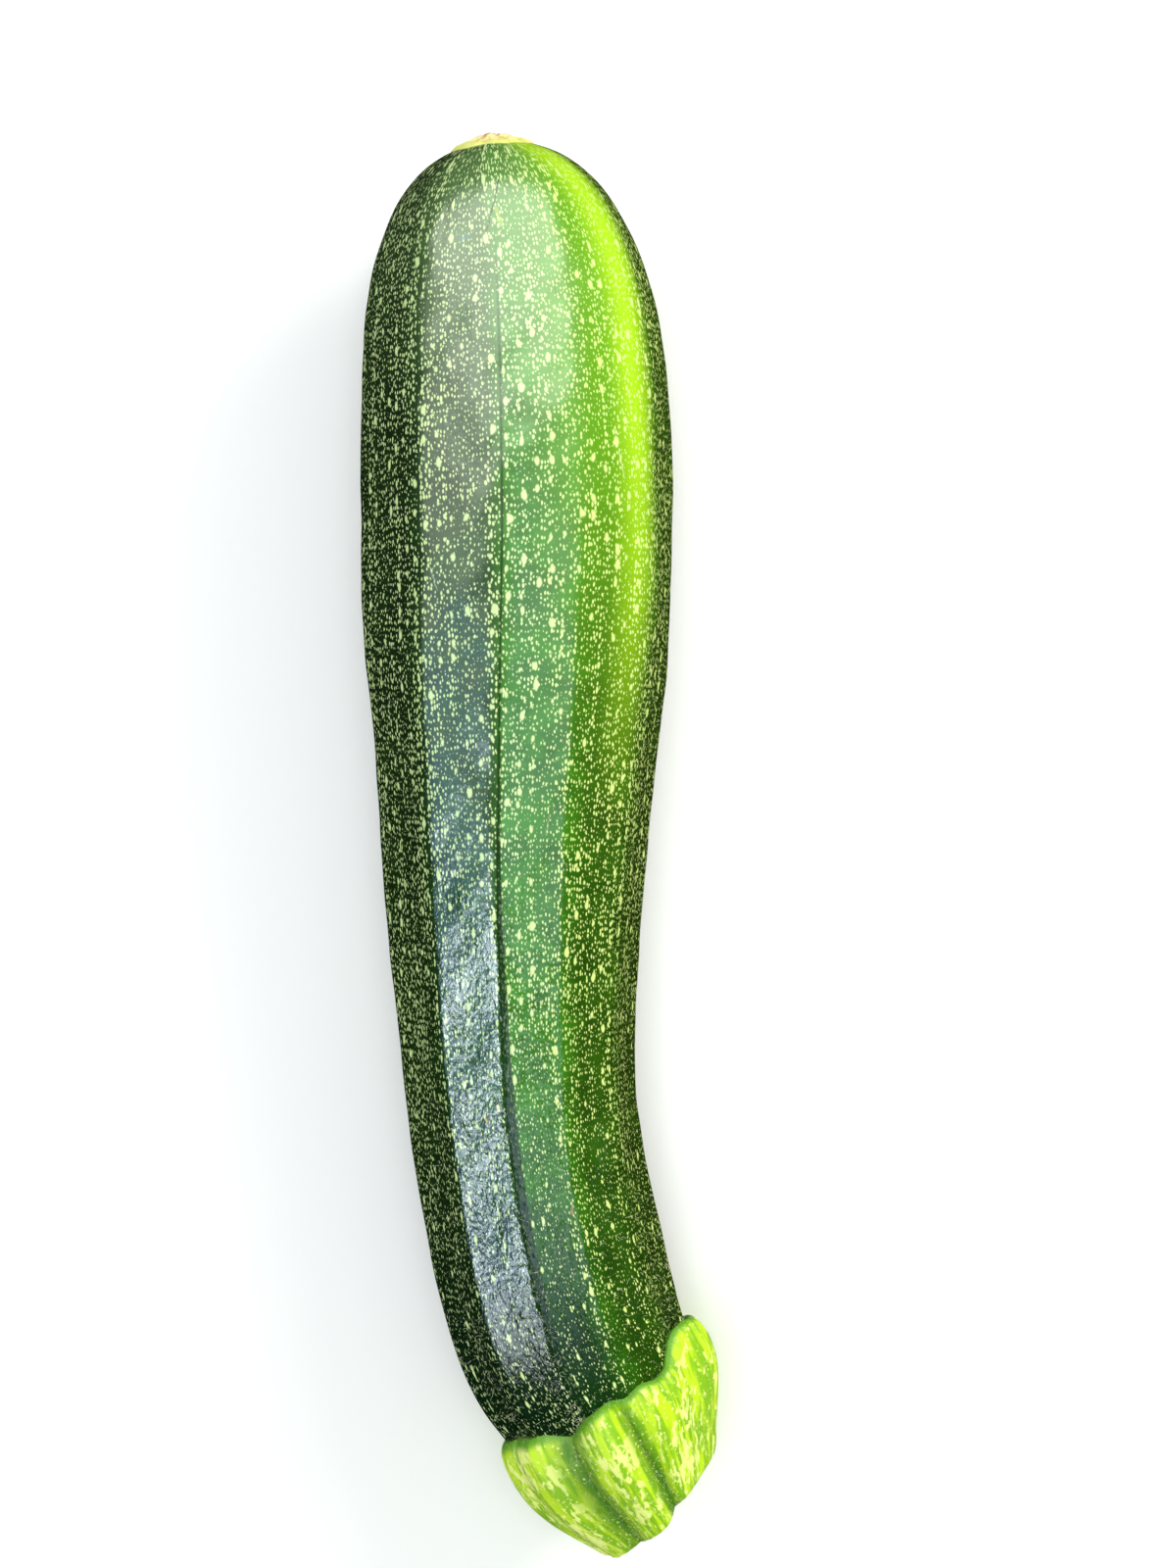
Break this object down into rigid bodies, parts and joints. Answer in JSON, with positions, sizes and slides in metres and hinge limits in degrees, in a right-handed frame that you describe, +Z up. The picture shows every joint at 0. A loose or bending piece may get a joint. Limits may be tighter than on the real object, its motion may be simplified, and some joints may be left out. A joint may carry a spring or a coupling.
{
  "type": "courgette",
  "caption": "Whole courgette lying on its side: a bent, ribbed fruit, blunt at the blossom end, with a low flower scar and a lobed, slanting cut stem stub.",
  "frame": {"origin": "on the surface that the courgette lies on, under the middle of its box", "axes": "+Y along the fruit towards its blossom end; -Y towards the stem, which bends to +X; +Z up"},
  "size_m": [0.0549, 0.2193, 0.0478],
  "materials": {
    "courgette_skin": "waxy dark green courgette skin with pale speckles",
    "stem_skin": "downy lime green stem skin with pale streaks",
    "scar_cork": "dry pale cork"
  },
  "bodies": {
    "root": {"fruit": "courgette_skin", "stem": "stem_skin", "flower_scar": "scar_cork"}
  },
  "joints": []
}
